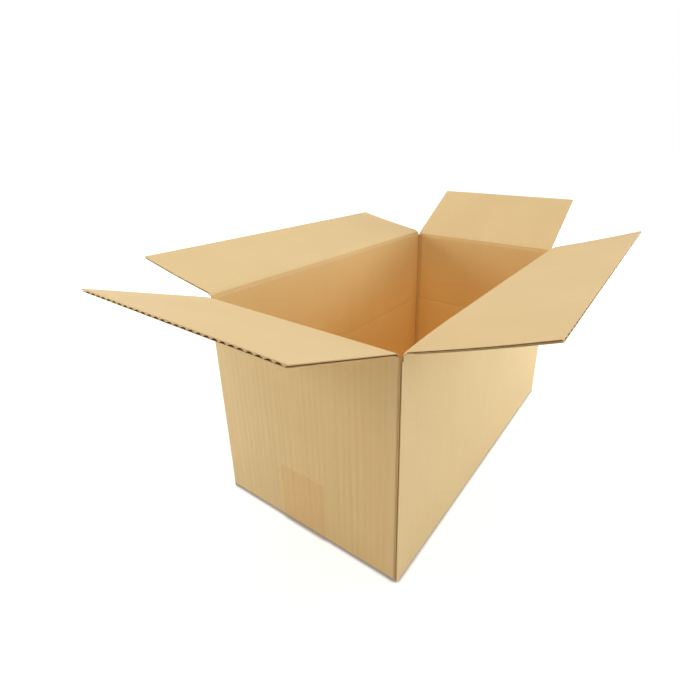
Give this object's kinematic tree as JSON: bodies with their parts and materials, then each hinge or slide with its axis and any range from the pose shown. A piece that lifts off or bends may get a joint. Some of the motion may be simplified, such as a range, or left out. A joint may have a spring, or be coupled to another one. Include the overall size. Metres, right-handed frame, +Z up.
{
  "type": "open cardboard box",
  "caption": "Long open-topped carton of plain brown corrugated board, its top flaps hinged on creases and folded outward, its bottom flaps taped shut.",
  "frame": {"origin": "centre of the base, on the underside of the bottom tape", "axes": "+X along the long side, +Y from the front wall to the back wall, +Z up"},
  "size_m": [0.5367, 0.378, 0.2528],
  "materials": {
    "kraft_board": "matt uncoated kraft paper, faint flute lines",
    "packing_tape": "clear glossy film over the board"
  },
  "bodies": {
    "root": {"box_body": "kraft_board", "bottom_tape": "packing_tape"},
    "left_end_flap": {"left_end_flap": "kraft_board"},
    "right_end_flap": {"right_end_flap": "kraft_board"},
    "front_flap": {"front_flap": "kraft_board"},
    "back_flap": {"back_flap": "kraft_board"}
  },
  "joints": [
    {"name": "left_end_crease", "type": "hinge", "parent": "root", "child": "left_end_flap", "pos_m": [-0.1797, 0, 0.1987], "axis": [0, -1, 0], "range_deg": [-161, 84]},
    {"name": "right_end_crease", "type": "hinge", "parent": "root", "child": "right_end_flap", "pos_m": [0.1797, 0, 0.1987], "axis": [0, 1, 0], "range_deg": [-148, 97]},
    {"name": "front_crease", "type": "hinge", "parent": "root", "child": "front_flap", "pos_m": [0, -0.0962, 0.2013], "axis": [1, 0, 0], "range_deg": [-161.5, 83.5]},
    {"name": "back_crease", "type": "hinge", "parent": "root", "child": "back_flap", "pos_m": [0, 0.0962, 0.2013], "axis": [-1, 0, 0], "range_deg": [-169, 76]}
  ]
}
